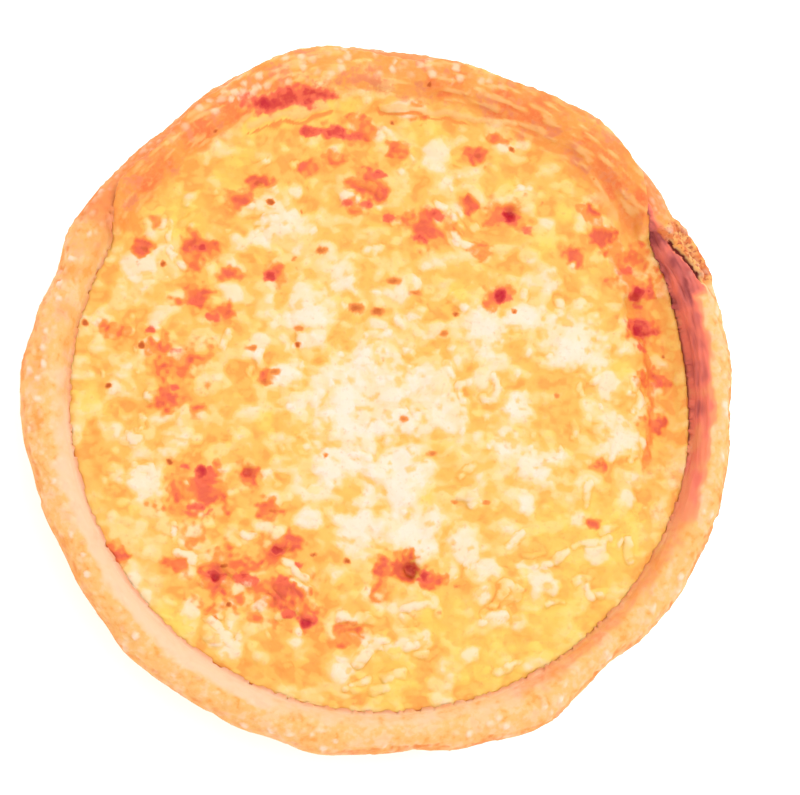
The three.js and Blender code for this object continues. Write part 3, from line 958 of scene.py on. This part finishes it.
# %% Pastry material
pastry = Recipe("baked_pastry")
painted = pastry.painted
flour = pastry.speckle(1.4, 3.0)
oven = pastry.speckle(4.0, 2.0)
colour = pastry.grade(
    flour * 0.45 + oven * 0.55,
    (0.34, tint(251, 176, 80)),
    (0.47, tint(252, 200, 112)),
    (0.62, tint(253, 214, 146)),
)

# %% What the oven did to the pastry
# The pale strip: painted light on the slope that faces the lamp.
colour = pastry.mix(
    (painted("painted_light_strip") + (oven - 0.5) * 1.1).ramp(0.1, 1.0), colour, tint(254, 216, 164)
)
colour = pastry.mix(
    (painted("browned") + (flour - 0.5) * 0.8).ramp(0.1, 1.1), colour, tint(249, 148, 76)
)
colour = pastry.mix(
    (painted("outer_edge") + (flour - 0.5) * 1.2).ramp(0.2, 1.1), colour, tint(246, 148, 56)
)
# Darker orange in the crease along the filling: painted shade.
colour = pastry.mix(painted("seam_and_shade") * 0.8, colour, tint(248, 160, 100))
# The dark slope on the right: part juice stain, part painted shade.
stain_and_shade = painted("stain_and_shade")
colour = pastry.grade(
    stain_and_shade + (oven - 0.5) * 0.4,
    (0.0, colour),
    (0.35, tint(252, 160, 104)),
    (0.62, tint(250, 134, 102)),
    (0.84, tint(232, 116, 98)),
    (1.05, tint(178, 78, 72)),
)
colour = pastry.mix(painted("streak") * stain_and_shade.ramp(0.5, 1.0) * 0.75, colour, tint(158, 62, 62))
colour = pastry.mix(painted("flake") * flour.ramp(0.3, 0.6), colour, tint(232, 124, 58))
crumbly = pastry.speckle(0.8, 2.0)
colour = pastry.mix(painted("flake") * crumbly.ramp(0.56, 0.66) * 0.7, colour, tint(176, 72, 40))
colour = pastry.mix(painted("bubble") * 0.35, colour, tint(254, 230, 184))
colour = pastry.mix(painted("blister") * 0.75, colour, tint(254, 236, 200))
# Painted shade inside the crack.
colour = pastry.mix(painted("crack").ramp(0.2, 0.9), colour, tint(140, 44, 36))
bump = pastry.add(
    "ShaderNodeBump", None, {"Strength": 0.3, "Distance": 0.3 * MM, "Height": flour}, output="Normal"
)
pastry.finish(case, "pastry", Base_Color=colour, Normal=bump, Roughness=0.65, **CRUMB)

# %% [markdown]
# ## Floor and light
#
# The pie lies on white, in light that comes from everywhere. A bright white world and a white floor
# give that. One large soft lamp on the upper right lets the lumps cast the faintest shade, without
# which they would look printed.

# %% Floor and light
FLOOR_WHITE = (0.95, 0.95, 0.95, 1)
SKY_STRENGTH = 1.75
LAMP_POWER = 5.0  # watts

bpy.ops.object.select_all(action="DESELECT")
bpy.ops.mesh.primitive_plane_add(size=6)
floor = bpy.context.object
floor.name = "floor"
floor_finish = bpy.data.materials.new("floor_white")
floor_finish.use_nodes = True
floor_shader = floor_finish.node_tree.nodes["Principled BSDF"]
floor_shader.inputs["Base Color"].default_value = FLOOR_WHITE
floor.data.materials.append(floor_finish)

world = bpy.data.worlds.new("studio")
world.use_nodes = True
sky = world.node_tree.nodes["Background"]
sky.inputs["Color"].default_value = (1, 1, 1, 1)
sky.inputs["Strength"].default_value = SKY_STRENGTH
bpy.context.scene.world = world
bpy.context.scene.view_settings.view_transform = "Standard"


def area_light(name, place, size, power):
    bpy.ops.object.select_all(action="DESELECT")
    bpy.ops.object.light_add(type="AREA", location=place)
    lamp = bpy.context.object
    lamp.name = name
    lamp.data.shape = "DISK"
    lamp.data.size = size
    lamp.data.energy = power
    lamp.rotation_euler = (-Vector(place)).to_track_quat("-Z", "Y").to_euler()
    print(name, "of", power, "W,", round(Vector(place).length, 2), "m away")


area_light("key_light", (0.45, 0.4, 0.9), 0.9, LAMP_POWER)
